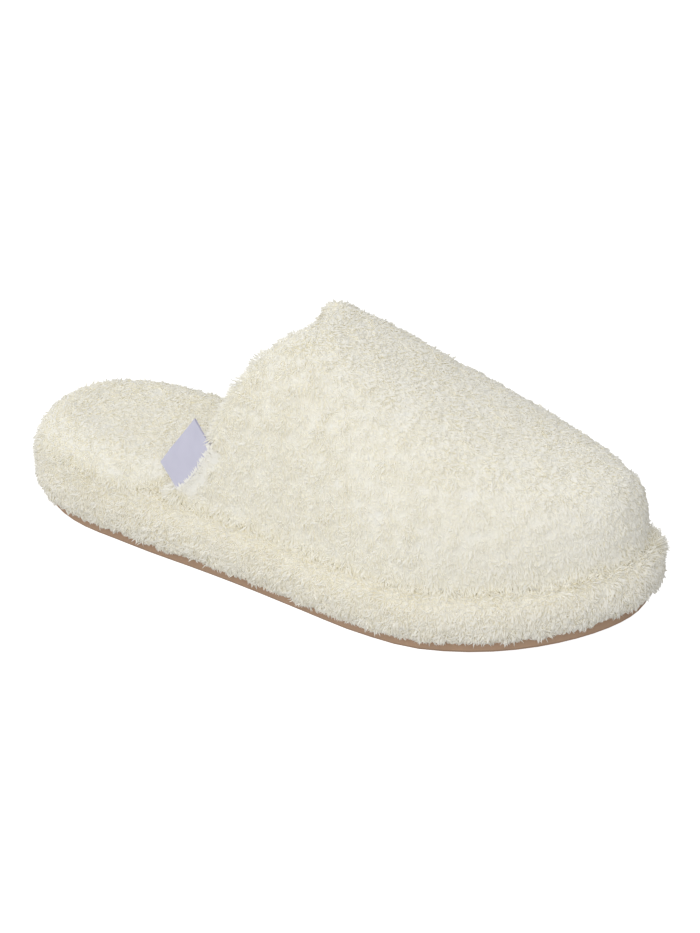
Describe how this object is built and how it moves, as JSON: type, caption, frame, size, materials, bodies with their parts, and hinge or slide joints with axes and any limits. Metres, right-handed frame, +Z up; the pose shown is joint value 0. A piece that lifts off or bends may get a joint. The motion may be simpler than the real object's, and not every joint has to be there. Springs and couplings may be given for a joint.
{
  "type": "clog slipper",
  "caption": "Backless clog slipper for the right foot, with a closed toe, short cream pile all over, a pile-wrapped platform, a thin tan outsole and a small bare label at the throat.",
  "frame": {"origin": "on the floor, below the middle of the slipper's bounding box", "axes": "+X from heel to toe, +Y to the wearer's left, which is the big-toe side, +Z up"},
  "size_m": [0.2648, 0.11, 0.1014],
  "materials": {
    "outsole_tan": "matte tan sole sheet with a fine grain",
    "wrap_pile": "short cream chenille pile over a foam platform",
    "sock_pile": "short cream chenille pile over a foam footbed",
    "vamp_pile": "short cream chenille pile on a lined textile wall",
    "label_satin": "bluish white woven satin, left bare"
  },
  "bodies": {
    "root": {"outsole": "outsole_tan", "midsole": "wrap_pile", "insole": "sock_pile", "upper": "vamp_pile", "side_label": "label_satin"}
  },
  "joints": []
}
